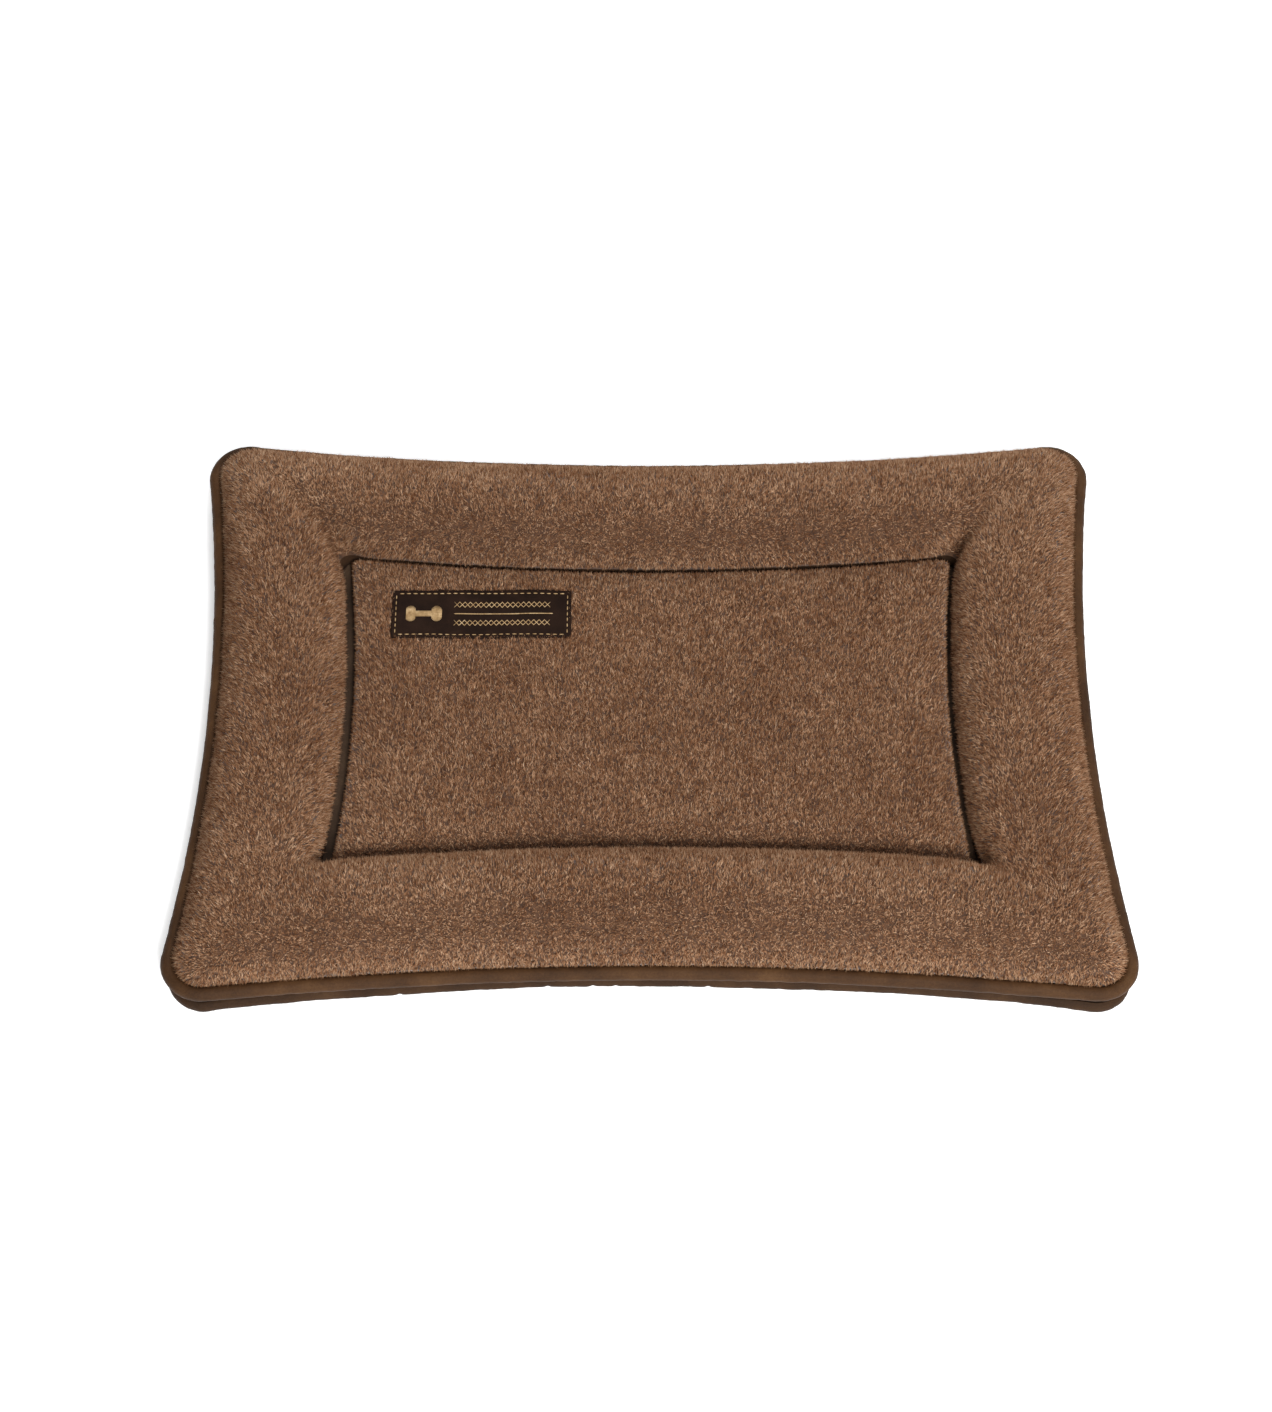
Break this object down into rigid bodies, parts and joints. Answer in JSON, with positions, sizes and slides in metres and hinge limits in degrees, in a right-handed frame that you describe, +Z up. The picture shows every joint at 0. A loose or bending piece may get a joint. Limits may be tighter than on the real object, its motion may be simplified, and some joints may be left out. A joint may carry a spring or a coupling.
{
  "type": "pet cushion bed",
  "caption": "Rectangular plush pet bed with a stuffed border round a sunken middle panel, double piped edge, zip along the front band and a woven label.",
  "frame": {"origin": "on the floor under the middle of the bed", "axes": "+Z up, +X to the right along the long side, -Y towards the front edge with the zip"},
  "size_m": [0.5966, 0.4144, 0.0615],
  "materials": {
    "plush": "matt short curly pile",
    "piping_cloth": "smooth plain weave, slightly silky",
    "band_cloth": "plain weave",
    "base_cloth": "plain weave with grip dots",
    "lining_cloth": "non-woven",
    "foam": "open-cell foam",
    "wadding": "fibre",
    "piping_cord": "twisted filler cord",
    "zip_tape": "herringbone tape",
    "zip_coil": "nylon coil",
    "zip_metal": "cast zinc, satin",
    "magnet": "sintered, plain",
    "label_cloth": "damask weave",
    "label_thread": "woven light thread",
    "seam_thread": "spun thread"
  },
  "bodies": {
    "bed": {"centre_panel": "plush", "border_cover": "plush", "upper_piping": "piping_cloth", "lower_piping": "piping_cloth", "side_band": "band_cloth", "zip_end_tabs": "band_cloth", "base_panel": "base_cloth", "lining_sheet": "lining_cloth", "magnet_sheet": "lining_cloth", "foam_mat": "foam", "centre_pad": "wadding", "border_fill": "wadding", "upper_piping_cord": "piping_cord", "lower_piping_cord": "piping_cord", "zip_tape_upper": "zip_tape", "zip_tape_lower": "zip_tape", "zip_coil_upper": "zip_coil", "zip_coil_lower": "zip_coil", "zip_stops": "zip_metal", "magnets": "magnet", "label_patch": "label_cloth", "label_stitching": "label_thread", "label_motif": "label_thread", "panel_seam_thread": "seam_thread"},
    "zip_slider": {"zip_slider": "zip_metal"},
    "zip_pull_tab": {"zip_pull_tab": "zip_metal"}
  },
  "joints": [
    {"name": "zip_travel", "type": "hinge", "parent": "bed", "child": "zip_slider", "pos_m": [0, -2.69127, 0.0155], "axis": [0, 0, 1], "range_deg": [0, 11.15]},
    {"name": "pull_tab_swing", "type": "hinge", "parent": "zip_slider", "child": "zip_pull_tab", "pos_m": [0.24335, -0.19828, 0.0155], "axis": [0, 0, 1], "range_deg": [0, 170]}
  ]
}
